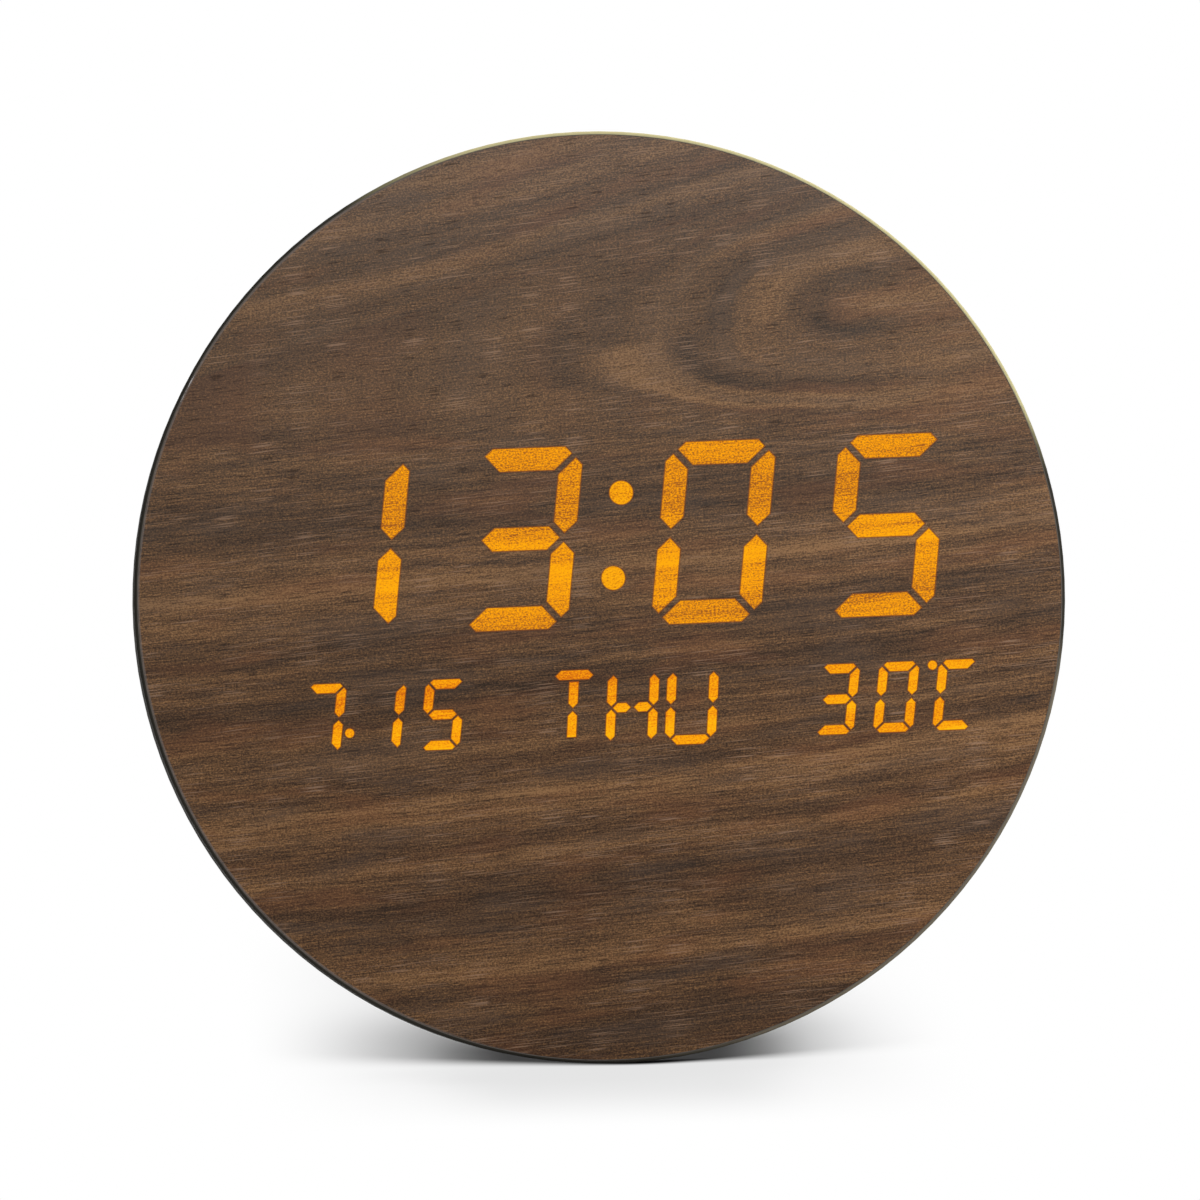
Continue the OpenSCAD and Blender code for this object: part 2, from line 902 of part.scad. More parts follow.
module leg_2d() {
  polygon(round_outline([
    [leg_neck, 0], [leg_neck, -leg_shoulder], [leg_foot_w / 2, pad_t - leg_len],
    [-leg_foot_w / 2, pad_t - leg_len], [-leg_neck, -leg_shoulder], [-leg_neck, 0]
  ], [0.5, 100, 3, 3, 100, 0.5]));
}

module easel_leg() {
  color("dimgray")
    stood()
      difference() {
        union() {
          opened()
            difference() {
              slab(-leg_t, 0)
                leg_2d();
              slab(-1, 1)
                polygon(round_outline([
                  [leg_top_w / 2 - leg_frame, -leg_shoulder],
                  [leg_foot_w / 2 - leg_frame, 2 * leg_frame - leg_len],
                  [leg_frame - leg_foot_w / 2, 2 * leg_frame - leg_len],
                  [leg_frame - leg_top_w / 2, -leg_shoulder]
                ], [4, 4, 4, 4]));
            }
          translate([-leg_top_w / 2, pin_y, pin_z])
            rotate([0, 90, 0])
              cylinder(r = knuckle_r, h = leg_top_w);
          translate([-leg_top_w / 2, case_depth + heel_gap, pin_z])
            cube([leg_top_w, pin_off - heel_gap, heel_h]);
        }
        hinge_bore(pin_r + pin_fit);
      }
}

module leg_pads() {
  color("black")
    difference() {
      stood()
        opened()
          for (s = [-1, 1])
            translate([s * (leg_foot_w / 2 - pad_inset - pad_w / 2) - pad_w / 2, -leg_t, -leg_len - 2])
              cube([pad_w, leg_t, pad_t + 2]);
      translate([-case_d, -case_d, -20])
        cube([2 * case_d, 2 * case_d, 20]);
    }
}

veneer_face();
wood_body();
edge_band();
hour_tens_bars();
hour_ones_bars();
minute_tens_bars();
minute_ones_bars();
colon_dots();
date_bars();
weekday_bars();
temperature_bars();
dark_bars();
light_mask();
display_board();
segment_leds();
board_screws();
control_chip();
clock_crystal();
buzzer();
capacitor();
temperature_sensor();
dc_jack();
set_switch();
up_switch();
down_switch();
set_plunger();
up_plunger();
down_plunger();
set_button();
up_button();
down_button();
rear_cover();
cover_screws();
backup_cell();
cell_contacts();
cell_door();
hinge_pin();
easel_leg();
leg_pads();
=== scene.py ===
"""Looks of the round walnut-faced digital clock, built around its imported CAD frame."""

import json
import math

import bmesh
import bpy
from mathutils import Euler, Matrix, Vector


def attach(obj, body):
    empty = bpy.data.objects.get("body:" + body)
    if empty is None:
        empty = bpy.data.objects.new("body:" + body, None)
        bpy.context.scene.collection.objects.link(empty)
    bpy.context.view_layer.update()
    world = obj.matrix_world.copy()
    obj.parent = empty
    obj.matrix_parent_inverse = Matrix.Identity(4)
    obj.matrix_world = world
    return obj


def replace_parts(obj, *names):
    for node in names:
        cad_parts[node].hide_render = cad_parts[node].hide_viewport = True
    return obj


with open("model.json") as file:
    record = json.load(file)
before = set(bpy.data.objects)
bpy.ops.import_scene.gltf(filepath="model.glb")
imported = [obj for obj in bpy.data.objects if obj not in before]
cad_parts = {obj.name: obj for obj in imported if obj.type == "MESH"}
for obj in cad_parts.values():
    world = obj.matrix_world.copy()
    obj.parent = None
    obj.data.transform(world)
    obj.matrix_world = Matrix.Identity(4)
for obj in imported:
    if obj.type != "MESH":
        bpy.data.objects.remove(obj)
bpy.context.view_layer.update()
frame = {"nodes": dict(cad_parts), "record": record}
nodes = frame["nodes"]
bpy.ops.object.select_all(action="DESELECT")

# The clock's own frame: x to the right, y from the face to the back, z up along the leaning disc
LEAN = math.radians(15)
FACE_CENTRE = Vector((0, -0.0153744, 0.126818))
MM_IN_METRE = 1000

# Radius of the walnut film, in millimetres
FILM_R = 124


def on_disc(x, y, z):
    """A point of the clock's own frame, given in millimetres, in the row frame in metres."""
    return FACE_CENTRE + Matrix.Rotation(-LEAN, 3, "X") @ Vector((x, y, z)) / MM_IN_METRE


def paint(red, green, blue):
    """A colour as it shows on screen, 0 to 255, as the linear colour that a shader takes."""
    shares = [c / 255 for c in (red, green, blue)]
    return [c / 12.92 if c <= 0.04045 else ((c + 0.055) / 1.055) ** 2.4 for c in shares] + [1]


# Shader writing


class Value:
    """A shader socket. Sums written with it become Math nodes."""

    def __init__(self, finish, socket):
        self.finish = finish
        self.socket = socket

    def __add__(self, other):
        return self.finish.math("ADD", self, other)

    __radd__ = __add__

    def __sub__(self, other):
        return self.finish.math("SUBTRACT", self, other)

    def __rsub__(self, other):
        return self.finish.math("SUBTRACT", other, self)

    def __mul__(self, other):
        return self.finish.math("MULTIPLY", self, other)

    __rmul__ = __mul__

    def __truediv__(self, other):
        return self.finish.math("DIVIDE", self, other)


class Finish:
    """A material that is being put together."""

    def __init__(self, name):
        self.material = bpy.data.materials.new(name)
        self.material.use_nodes = True
        self.tree = self.material.node_tree
        self.tree.nodes.clear()

    def node(self, kind, settings, inputs, output=0):
        """Adds a node, sets it, fills or links its sockets and returns one output, or all of them."""
        made = self.tree.nodes.new(kind)
        for name, setting in settings.items():
            if name == "stops":
                self.fill_ramp(made.color_ramp, setting)
            else:
                setattr(made, name, setting)
        for key, value in inputs.items():
            if isinstance(value, Value):
                self.tree.links.new(value.socket, made.inputs[key])
            else:
                made.inputs[key].default_value = value
        found = [Value(self, socket) for socket in made.outputs]
        return found if output == "all" else found[output]

    def fill_ramp(self, ramp, stops):
        while len(ramp.elements) < len(stops):
            ramp.elements.new(0.5)
        for element, (place, tone) in zip(ramp.elements, stops):
            element.position = place
            element.color = tone if hasattr(tone, "__len__") else (tone, tone, tone, 1)

    def math(self, operation, a, b=0.0, clamp=False):
        return self.node("ShaderNodeMath", {"operation": operation, "use_clamp": clamp}, {0: a, 1: b})

    def clamped(self, value):
        return self.math("ADD", value, 0.0, clamp=True)

    def smooth(self, value, low, high):
        """0 at low and beyond, 1 at high and beyond, and an even slope between. Low may be the greater."""
        inputs = {"Value": value, "From Min": low, "From Max": high}
        return self.node("ShaderNodeMapRange", {"interpolation_type": "SMOOTHSTEP"}, inputs)

    def blend(self, factor, a, b):
        """a where the factor is 0, b where it is 1."""
        return a + factor * (b - a)

    def mix(self, factor, a, b):
        """Colour a where the factor is 0, colour b where it is 1."""
        return self.node("ShaderNodeMix", {"data_type": "RGBA"}, {0: factor, 6: a, 7: b}, 2)

    def ramp(self, value, stops, interpolation="EASE"):
        made = self.node("ShaderNodeValToRGB", {"stops": stops}, {0: value})
        made.socket.node.color_ramp.interpolation = interpolation
        return made

    def object_point(self):
        return self.node("ShaderNodeTexCoord", {}, {}, 3)

    def disc_point(self):
        """The point in the clock's own frame, in millimetres."""
        turn = Euler((LEAN, 0, 0))
        inputs = {
            "Vector": self.object_point(),
            "Location": -(turn.to_matrix() @ FACE_CENTRE) * MM_IN_METRE,
            "Rotation": turn,
            "Scale": (MM_IN_METRE, MM_IN_METRE, MM_IN_METRE),
        }
        return self.node("ShaderNodeMapping", {"vector_type": "POINT"}, inputs)

    def mark(self, name):
        """A number that the piece's mesh carries at its corners."""
        return self.node("ShaderNodeAttribute", {"attribute_name": name}, {}, 2)

    def split(self, vector):
        return self.node("ShaderNodeSeparateXYZ", {}, {0: vector}, "all")

    def flat_noise(self, along, across, detail=2.0, roughness=0.5):
        """Noise over two numbers, each already divided by the size of its own step."""
        at = self.node("ShaderNodeCombineXYZ", {}, {0: along, 1: across})
        inputs = {"Vector": at, "Scale": 1.0, "Detail": detail, "Roughness": roughness}
        return self.node("ShaderNodeTexNoise", {"noise_dimensions": "2D"}, inputs)

    def noise(self, vector, scale, detail=2.0, roughness=0.5):
        inputs = {"Vector": vector, "Scale": scale, "Detail": detail, "Roughness": roughness}
        return self.node("ShaderNodeTexNoise", {"noise_dimensions": "3D"}, inputs)

    def bump(self, height, distance, strength=1.0):
        inputs = {"Height": height, "Distance": distance, "Strength": strength}
        return self.node("ShaderNodeBump", {}, inputs)

    def skin(self, **sockets):
        """Ends the material in one Principled shader; words in a socket's name are joined by _."""
        inputs = {name.replace("_", " "): value for name, value in sockets.items()}
        shader = self.node("ShaderNodeBsdfPrincipled", {}, inputs)
        self.node("ShaderNodeOutputMaterial", {}, {0: shader}, "all")
        return self.material


# Walnut film and the light that shines through it, with all lengths in millimetres

# Growth lines: place across the grain, and how pale (+) or dark (-) the line is there
LINES_IN_SWIRL_BELOW = [
    (0, 5), (4, 0), (8.5, -5.4), (12.5, 0.5), (22, 2.2), (28.5, -3.8), (32.5, 4.5), (36, 5.5), (38.6, -1),
    (40, 0),
]
LINES_IN_SWIRL_ABOVE = [
    (0, 4), (9.5, -2.8), (16.5, 4.5), (25.5, -2.2), (31.5, 2.2), (37.5, -1.6), (40, -1),
]
LINES_UNDER_SWIRL = [
    (0, -1), (5.5, 0.6), (11.5, -2), (15.5, -3.6), (21.5, -5.8), (27, -0.3), (29.5, 4.3), (32.5, 1.1),
    (37.5, 10.9), (40.5, 1.3), (43, 4.3), (52.5, -4.9), (56.5, 0.3), (59.5, -5), (61.5, 1.1), (65.5, -8.2),
    (72, -2.5), (76.5, 1), (79.5, -1.3), (82.5, 5),
]
LINES_AT_FOOT = [
    (82.5, 5), (85.5, -2), (91.5, -2.6), (95.5, 10.6), (97.5, 5), (99.5, 7.4), (103.5, -0.8), (108.5, -3),
    (111.5, 6), (115.5, -2.2), (121.5, -7.8), (128.5, -1.2), (130.5, -3.4), (134.5, 2.2), (136.5, 0.4),
    (141.5, 8.5), (146.5, -4.8), (151.5, 2), (155, -4), (161.5, -7.5), (170, -4),
]
LINES_OVER_SWIRL = [
    (0, -1.5), (3.5, -2.5), (9.5, 6.6), (12.5, -3.2), (16.5, 1), (18.5, -1), (22.5, 5.7), (27.5, 1),
    (31.5, 6.5), (36, 2),
]
LINE_DEPTH = 0.027
SWIRL_DEPTH = 0.055
SWIRL_REACH = 40
FOOT_STARTS = 82

# Middle and two sides of the swirl's wedge: height above the face's centre, and rise to the right
SWIRL_AXIS_Z = 65.8
SWIRL_AXIS_RISE = 0.126
SWIRL_LOWER_Z = 45.2
SWIRL_UPPER_Z = 91.3
SWIRL_UPPER_RISE = 0.27
SWIRL_EYE_X = 79
SWIRL_TIP_X = -8
PALE_ARC = 0.61


def along_lines(finish, place, lines, depth=LINE_DEPTH):
    """Tone of the growth lines at a place across the grain, 0.5 where a line is neither pale nor dark."""
    low, high = lines[0][0], lines[-1][0]
    stops = [((at - low) / (high - low), 0.5 + depth * pale) for at, pale in lines]
    return finish.split(finish.ramp((place - low) / (high - low), stops))[0]


def growth_lines(finish, x, z):
    """Tone of the growth lines, and the place across the grain: arcs round an eye at the upper right
    that point left into a long wedge, and lines above and below that follow the wedge's two sides."""
    axis_z = SWIRL_AXIS_Z + SWIRL_AXIS_RISE * x
    right = finish.math("MAXIMUM", x - 3.5, 0.0) / 100
    lower_side = SWIRL_LOWER_Z + 2.44 * right * right * right
    upper_side = SWIRL_UPPER_Z + SWIRL_UPPER_RISE * x
    off = z - axis_z
    over = finish.smooth(off, -1.2, 1.2)
    half = over * (upper_side - axis_z) + (1 - over) * (axis_z - lower_side)
    across = finish.math("ABSOLUTE", off) / finish.math("MAXIMUM", half, 1.0)
    along = 0.955 * finish.math("POWER", finish.smooth(x, SWIRL_EYE_X, SWIRL_TIP_X), 0.7)
    along = along + 0.02 * finish.clamped(x / -100)
    arc = finish.math("POWER", across * across * across + along * along * along, 1 / 3)
    arc = SWIRL_REACH * finish.math("MINIMUM", arc, 1.0)
    inside = finish.smooth(across, 1.04, 0.96)

    under = finish.math("MAXIMUM", lower_side - z, 0.0)
    under = under + 0.084 * x * (1 - finish.math("EXPONENT", under / -42))
    above = finish.math("MAXIMUM", z - upper_side, 0.0)
    leftwards = finish.math("MINIMUM", x + 23, 0.0)
    above = above + 0.1 * leftwards * (1 - finish.math("EXPONENT", above / -11.3))

    low_arcs = along_lines(finish, arc, LINES_IN_SWIRL_BELOW, SWIRL_DEPTH)
    high_arcs = along_lines(finish, arc, LINES_IN_SWIRL_ABOVE, SWIRL_DEPTH)
    arcs = finish.blend(over, low_arcs, high_arcs)
    lens = finish.smooth(across, 0.75, 0.35) * finish.smooth(x, -14, -28) * finish.smooth(x, -114, -80)
    tip = finish.smooth(finish.math("ABSOLUTE", x - SWIRL_TIP_X), 8, 1) * finish.smooth(across, 0.55, 0.1)
    shoulder = finish.smooth(across, 0.55, 0.85) * finish.smooth(x, 10, -20)
    arcs = arcs + 0.085 * lens - 0.13 * tip - 0.05 * shoulder
    arcs = finish.blend((0.6 - 0.45 * over) * finish.smooth(x, 70, 88), arcs, PALE_ARC)

    foot = finish.smooth(under, FOOT_STARTS, FOOT_STARTS + 1)
    middle_lines = along_lines(finish, under, LINES_UNDER_SWIRL)
    lower = finish.blend(foot, middle_lines, along_lines(finish, under, LINES_AT_FOOT))
    outer = finish.blend(over, lower, along_lines(finish, above, LINES_OVER_SWIRL))
    place = finish.blend(inside, SWIRL_REACH + finish.blend(over, under, above + 200), arc)
    return finish.blend(inside, outer, arcs), place


def walnut(finish):
    """Tone of the walnut, 0 dark to 1 pale, and what it is made of: lines, streaks, fibres and pores.
    Each noise has its own step along and across the grain. It also gives the masks of a painted sheen
    towards the top and of a painted highlight along the film's left edge."""
    x, _, z = finish.split(finish.disc_point())
    wander = finish.flat_noise(x / 70, z / 26, 2.0) - 0.5
    ripple = finish.flat_noise(x / 16, z / 5, 2.0) - 0.5
    lines, ring = growth_lines(finish, x + ripple * 2.5, z + wander * 3 + ripple * 1.8)

    fibre_z = z - (0.082 + 0.015 * finish.math("TANH", (z - 60) / 40)) * x
    patches = finish.flat_noise(x / 60, ring / 14, 3.0, 0.55) - 0.5
    streaks = finish.flat_noise(x / 42, ring / 1.8, 3.0, 0.65) - 0.5
    fibres = finish.flat_noise(x / 13, fibre_z / 0.40, 2.0, 0.6) - 0.5
    flecks = finish.flat_noise(x / 1.5 + 11, fibre_z / 0.30, 1.0) - 0.5
    speckle = finish.flat_noise(x / 0.58, z / 0.44, 1.0, 0.85) - 0.5
    calm = finish.smooth(z, 40, 58)
    side = finish.smooth(finish.math("ABSOLUTE", x), 60, 100)
    tone = lines + 0.03 * side + 0.2 * patches + (0.7 - 0.36 * calm) * streaks
    tone = tone + (0.8 - 0.42 * calm) * fibres + 0.6 * flecks + 1.25 * speckle

    groups = finish.flat_noise(x / 30, fibre_z / 8, 1.0)
    dashes = finish.flat_noise(x / 10.5, fibre_z / 0.25, 0.0)
    pale_pores = finish.smooth(dashes, 0.66, 0.79) * finish.smooth(groups, 0.42, 0.62)
    dark_dashes = finish.flat_noise(x / 6.5 + 31, fibre_z / 0.36 + 17, 0.0)
    dark_pores = finish.smooth(dark_dashes, 0.66, 0.82) * finish.smooth(groups, 0.66, 0.42)
    threads = finish.flat_noise(x / 24 + 7, fibre_z / 0.62 + 3, 1.0)
    dark_threads = 0.7 * finish.smooth(threads, 0.66, 0.80) * (1 - 0.6 * calm)
    radius = finish.math("SQRT", x * x + z * z)
    return {
        "tone": tone,
        "lines": lines,
        "streaks": streaks,
        "fibres": fibres,
        "flecks": flecks,
        "speckle": speckle,
        "pale pores": pale_pores,
        "dark pores": finish.math("MAXIMUM", dark_pores, dark_threads),
        "warmth": finish.flat_noise(x / 40 + 5, ring / 9, 2.0),
        # Masks of painted sheen: the face paler and greyer towards the top, with a faint cool tint at the
        # very top
        "height": finish.smooth(z, -60, 120),
        "painted top sheen": finish.smooth(z, 80, 122),
        # Painted highlight: a pale line along the film's outer edge on the left
        "painted edge highlight": finish.smooth(radius, FILM_R - 0.55, FILM_R - 0.3) * finish.smooth(x, -20, -70),
    }


def walnut_film():
    finish = Finish("walnut film")
    grain = walnut(finish)
    wood = finish.ramp(grain["tone"], [
        (0.0, paint(50, 38, 28)), (0.3, paint(77, 56, 41)), (0.5, paint(96, 70, 48)),
        (0.7, paint(117, 85, 56)), (1.0, paint(150, 112, 76)),
    ], "LINEAR")
    redder = finish.mix(0.2, wood, paint(128, 78, 50))
    greyer = finish.mix(0.24, wood, paint(84, 72, 64))
    colour = finish.mix(finish.smooth(grain["warmth"], 0.5, 0.75), wood, redder)
    colour = finish.mix(finish.smooth(grain["warmth"], 0.5, 0.28), colour, greyer)
    # Painted sheen: paler and greyer towards the top, then a faint cool tint at the very top
    colour = finish.mix(grain["height"] * 0.09, colour, paint(140, 146, 142))
    colour = finish.mix(grain["painted top sheen"] * 0.035, colour, paint(100, 135, 160))
    colour = finish.mix(grain["pale pores"] * 0.52, colour, paint(164, 132, 108))
    colour = finish.mix(grain["dark pores"] * 0.55, colour, paint(38, 28, 22))
    # Painted highlight along the film's outer edge on the left
    colour = finish.mix(grain["painted edge highlight"] * 0.6, colour, paint(116, 108, 104))
    spill = finish.math("POWER", finish.mark("spill"), 0.5)
    colour = finish.mix(spill * 0.85, colour, paint(142, 68, 18))
    relief = grain["fibres"] * 0.5 + grain["speckle"] * 0.35 - grain["dark pores"] * 0.7
    return finish.skin(
        Base_Color=colour, Roughness=0.5 - 0.12 * grain["fibres"] + 0.1 * grain["speckle"],
        Specular_IOR_Level=0.14, Normal=finish.bump(relief, 0.00005),
    )


def amber_light(name, tones, border, shade=1.25, specks=1.0, threads=1.0):
    """Lit bar: amber light in five tones from deep to bright, with the grain of the film in front of it.
    It is dimmer where a growth line is dark and takes the border's colour at the bar's edge. Shade, specks
    and threads say how much of the growth lines, the grit and the fibres shows in the light."""
    finish = Finish(name)
    grain = walnut(finish)
    long_marks = 0.5 * grain["streaks"] + 0.45 * grain["fibres"]
    long_marks = long_marks + 0.1 * grain["pale pores"] - 0.3 * grain["dark pores"]
    grit = 0.6 * grain["flecks"] + 2.0 * grain["speckle"]
    through = 0.525 + shade * (grain["lines"] - 0.5) + threads * long_marks + specks * grit
    stops = [(place, paint(*tone)) for place, tone in zip((0.0, 0.3, 0.5, 0.75, 1.0), tones)]
    glow = finish.ramp(through, stops, "LINEAR")
    glow = finish.mix(finish.math("POWER", finish.mark("fullness"), 0.6), paint(*border), glow)
    return finish.skin(
        Base_Color=paint(40, 20, 4), Roughness=0.5, Specular_IOR_Level=0.05,
        Emission_Color=glow, Emission_Strength=1.0,
    )


# Plastics, metals and the other finishes


def moulded(name, colour, roughness=0.5, grain=0.00003, shine=0.3, scuffs=0.5):
    """Moulded plastic with a fine spark-eroded texture and faint handling marks."""
    finish = Finish(name)
    at = finish.object_point()
    pits = finish.noise(at, 1300, 3.0, 0.7)
    cloud = finish.noise(at, 38, 3.0)
    marks = finish.smooth(finish.noise(at, 260, 4.0, 0.65), 0.56, 0.74)
    lighter = [min(1, c * 1.7 + 0.006) for c in colour[:3]] + [1]
    worn = finish.clamped(cloud * 0.5 + 0.9 * (pits - 0.5) + marks * 0.35 * scuffs)
    return finish.skin(
        Base_Color=finish.mix(worn, colour, lighter),
        Roughness=roughness + 0.16 * (cloud - 0.5) + 0.14 * marks * scuffs,
        Specular_IOR_Level=shine, Normal=finish.bump(pits, grain, 0.7),
    )


def metal(name, colour, roughness=0.3, stretch=(1, 1, 1)):
    """Metal with fine drawing lines and slight tarnish."""
    finish = Finish(name)
    at = finish.node("ShaderNodeMapping", {}, {"Vector": finish.object_point(), "Scale": stretch})
    lines = finish.noise(at, 900, 3.0, 0.6)
    tarnish = finish.noise(finish.object_point(), 220, 3.0)
    darker = [c * 0.62 for c in colour[:3]] + [1]
    shade = finish.mix(finish.smooth(tarnish, 0.45, 0.8) * 0.6, colour, darker)
    return finish.skin(
        Base_Color=shade, Metallic=1.0, Roughness=roughness + 0.25 * (lines - 0.5),
        Normal=finish.bump(lines, 0.00001, 0.6),
    )


def painted_board():
    finish = Finish("painted wood fibre")
    fuzz = finish.noise(finish.object_point(), 1400, 3.0, 0.65)
    colour = finish.mix(fuzz, paint(26, 24, 22), paint(48, 44, 40))
    return finish.skin(
        Base_Color=colour, Roughness=0.75, Specular_IOR_Level=0.2, Normal=finish.bump(fuzz, 0.00006),
    )


def edge_tape():
    """Matte black edge tape. Along its front lip it carries a painted khaki highlight at the top and the
    upper right and a painted grey sheen at the lower right, and a painted pale highlight runs along its
    inner front edge.
    """
    finish = Finish("matte black edge tape")
    x, y, z = finish.split(finish.disc_point())
    at = finish.object_point()
    cloud = finish.noise(at, 60, 3.0)
    pits = finish.noise(at, 1800, 2.0, 0.6)
    black = finish.mix(cloud, paint(44, 42, 38), paint(57, 55, 49))
    radius = finish.math("SQRT", x * x + z * z)
    outer = finish.smooth(radius, FILM_R + 0.05, FILM_R + 0.3)
    degrees = finish.math("ARCTAN2", z, x) * (180 / math.pi) + 10 * (cloud - 0.5)
    # Painted highlight: a pale line along the tape's inner front edge, next to the film
    painted_inner_highlight = (1 - outer) * finish.smooth(y, 0.5, 0.2)
    black = finish.mix(painted_inner_highlight * 0.9, black, paint(108, 101, 95))
    lip = outer * finish.smooth(y, 1.3, 0.7)
    # Painted highlight: khaki along the front lip at the top and the upper right
    painted_top_highlight = lip * finish.smooth(degrees, 13, 27) * finish.smooth(degrees, 124, 100)
    # Painted sheen: pale grey along the front lip at the lower right
    painted_lip_sheen = lip * finish.smooth(degrees, -4, -14) * finish.smooth(degrees, -88, -66)
    colour = finish.mix(finish.clamped(painted_top_highlight * (0.9 + 0.3 * cloud)), black, paint(192, 183, 138))
    colour = finish.mix(finish.clamped(painted_lip_sheen * (0.7 + 0.4 * cloud)), colour, paint(118, 110, 95))
    return finish.skin(
        Base_Color=colour, Roughness=0.7 + 0.12 * (cloud - 0.5), Specular_IOR_Level=0.03,
        Normal=finish.bump(pits, 0.00001, 0.5),
    )


def circuit_board():
    finish = Finish("green circuit board")
    x, _, z = finish.split(finish.disc_point())
    fill = finish.flat_noise(x / 9, z / 9, 2.0)
    tracks = finish.smooth(finish.math("PINGPONG", x + 9 * fill, 1.1), 0.45, 0.6)
    tracks = tracks * finish.smooth(fill, 0.42, 0.5)
    colour = finish.mix(tracks, paint(16, 74, 40), paint(36, 110, 62))
    return finish.skin(
        Base_Color=colour, Roughness=0.35 + 0.1 * fill, Normal=finish.bump(tracks, 0.00003, 0.6),
    )


WARM_AMBER = amber_light(
    "amber time light",
    [(150, 84, 30), (203, 124, 22), (230, 144, 14), (249, 161, 6), (255, 174, 6)],
    (128, 78, 34), specks=0.85,
)
DOT_AMBER = amber_light(
    "amber dot light",
    [(200, 116, 14), (236, 150, 10), (246, 164, 8), (252, 172, 8), (255, 180, 10)],
    (150, 88, 24), shade=0.5,
)
DEEP_AMBER = amber_light(
    "amber readout light",
    [(196, 92, 12), (233, 134, 8), (250, 162, 6), (255, 182, 8), (255, 190, 14)],
    (140, 74, 16), specks=0.48, threads=0.6,
)
finishes = {
    "walnut_film": walnut_film(),
    "fibreboard": painted_board(),
    "band": edge_tape(),
    "time_glow": WARM_AMBER,
    "small_glow": DEEP_AMBER,
    "dark_bar": moulded("frosted diffuser", paint(176, 172, 165), 0.6),
    "mask": moulded("white light mask", paint(226, 226, 220), 0.55),
    "board": circuit_board(),
    "led": moulded("clear yellow resin", paint(226, 205, 140), 0.2, 0.00001, 0.5, 0.1),
    "screw_steel": metal("zinc plated screw steel", paint(190, 192, 194), 0.32),
    "chip": moulded("black chip resin", paint(30, 30, 32), 0.6),
    "crystal_can": metal("crystal can", paint(205, 205, 202), 0.25),
    "buzzer_shell": moulded("black buzzer shell", paint(28, 28, 28), 0.45),
    "capacitor_can": metal("capacitor can", paint(168, 172, 180), 0.3),
    "sensor_bead": moulded("dipped black resin", paint(24, 24, 26), 0.2, 0.00001, 0.5, 0.2),
    "jack": moulded("black inlet moulding", paint(22, 22, 22), 0.4, 0.00002, 0.4),
    "switch_base": moulded("switch base", paint(38, 38, 40), 0.5),
    "plunger": moulded("natural plunger", paint(214, 212, 202), 0.45),
    "button": moulded("satin button", paint(64, 64, 66), 0.4, 0.00002, 0.42),
    "cover": moulded("black textured moulding", paint(38, 38, 39), 0.5, 0.00008, 0.35),
    "cover_screw_steel": metal("blackened screw steel", paint(74, 74, 76), 0.38),
    "cell_steel": metal("bright cell steel", paint(214, 214, 212), 0.22, (1, 1, 8)),
    "contact_brass": metal("contact brass", paint(214, 178, 98), 0.28),
    "door": moulded("door moulding", paint(43, 43, 44), 0.45, 0.00005, 0.36),
    "pin_steel": metal("drawn pin steel", paint(186, 188, 190), 0.26, (0.02, 1, 1)),
    "leg": moulded("black leg moulding", paint(36, 36, 37), 0.48, 0.00008, 0.35),
    "pad_rubber": moulded("black rubber", paint(34, 34, 33), 0.8, 0.00006, 0.15, 0.9),
}
for part in frame["record"]["subparts"]:
    slots = nodes[part["node"]].data.materials
    slots.clear()
    slots.append(finishes[part["material_slot"]])


# Modelling helpers

FRONT = Matrix.Rotation(-LEAN, 3, "X") @ Vector((0, -1, 0))
FACING_BACK = -(math.pi / 2 + LEAN)
LEG_PIN = Vector((0, 0.031017, 0.189452))
LEG_OPEN = math.radians(5)
SHARP = math.radians(35)
SMOOTH_BELOW = math.radians(38)


def on_leg(x, y, z):
    """A point of the open leg's own frame, in millimetres: y backwards and z upwards from its pin."""
    return LEG_PIN + Matrix.Rotation(LEG_OPEN, 3, "X") @ Vector((x, y, z)) / MM_IN_METRE


def alone(piece):
    """Selects one piece and makes it the active one."""
    bpy.ops.object.select_all(action="DESELECT")
    piece.select_set(True)
    bpy.context.view_layer.objects.active = piece


def pick_edges(piece, wanted):
    """In edit mode, selects the edges that wanted takes."""
    bpy.ops.mesh.select_mode(type="EDGE")
    bpy.ops.mesh.select_all(action="DESELECT")
    mesh = bmesh.from_edit_mesh(piece.data)
    for edge in mesh.edges:
        edge.select_set(bool(wanted(edge)))
    bmesh.update_edit_mesh(piece.data)


def pick_faces(piece, wanted):
    """In edit mode, selects the faces that wanted takes."""
    bpy.ops.mesh.select_mode(type="FACE")
    bpy.ops.mesh.select_all(action="DESELECT")
    mesh = bmesh.from_edit_mesh(piece.data)
    for face in mesh.faces:
        face.select_set(bool(wanted(face)))
    bmesh.update_edit_mesh(piece.data)


def sharp_outside(edge):
    return edge.is_convex and edge.calc_face_angle(0) > SHARP


def finished(piece, body, slot):
    """Leaves edit mode, smooths the shading, gives the piece its finish and lets it ride on its body."""
    bpy.ops.object.mode_set(mode="OBJECT")
    bpy.ops.object.shade_smooth_by_angle(angle=SMOOTH_BELOW)
    even = piece.modifiers.new("even shading", "WEIGHTED_NORMAL")
    even.keep_sharp = True
    even.weight = 100
    bpy.ops.object.modifier_apply(modifier=even.name)
    piece.data.materials.clear()
    piece.data.materials.append(finishes[slot])
    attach(piece, body)
    return piece


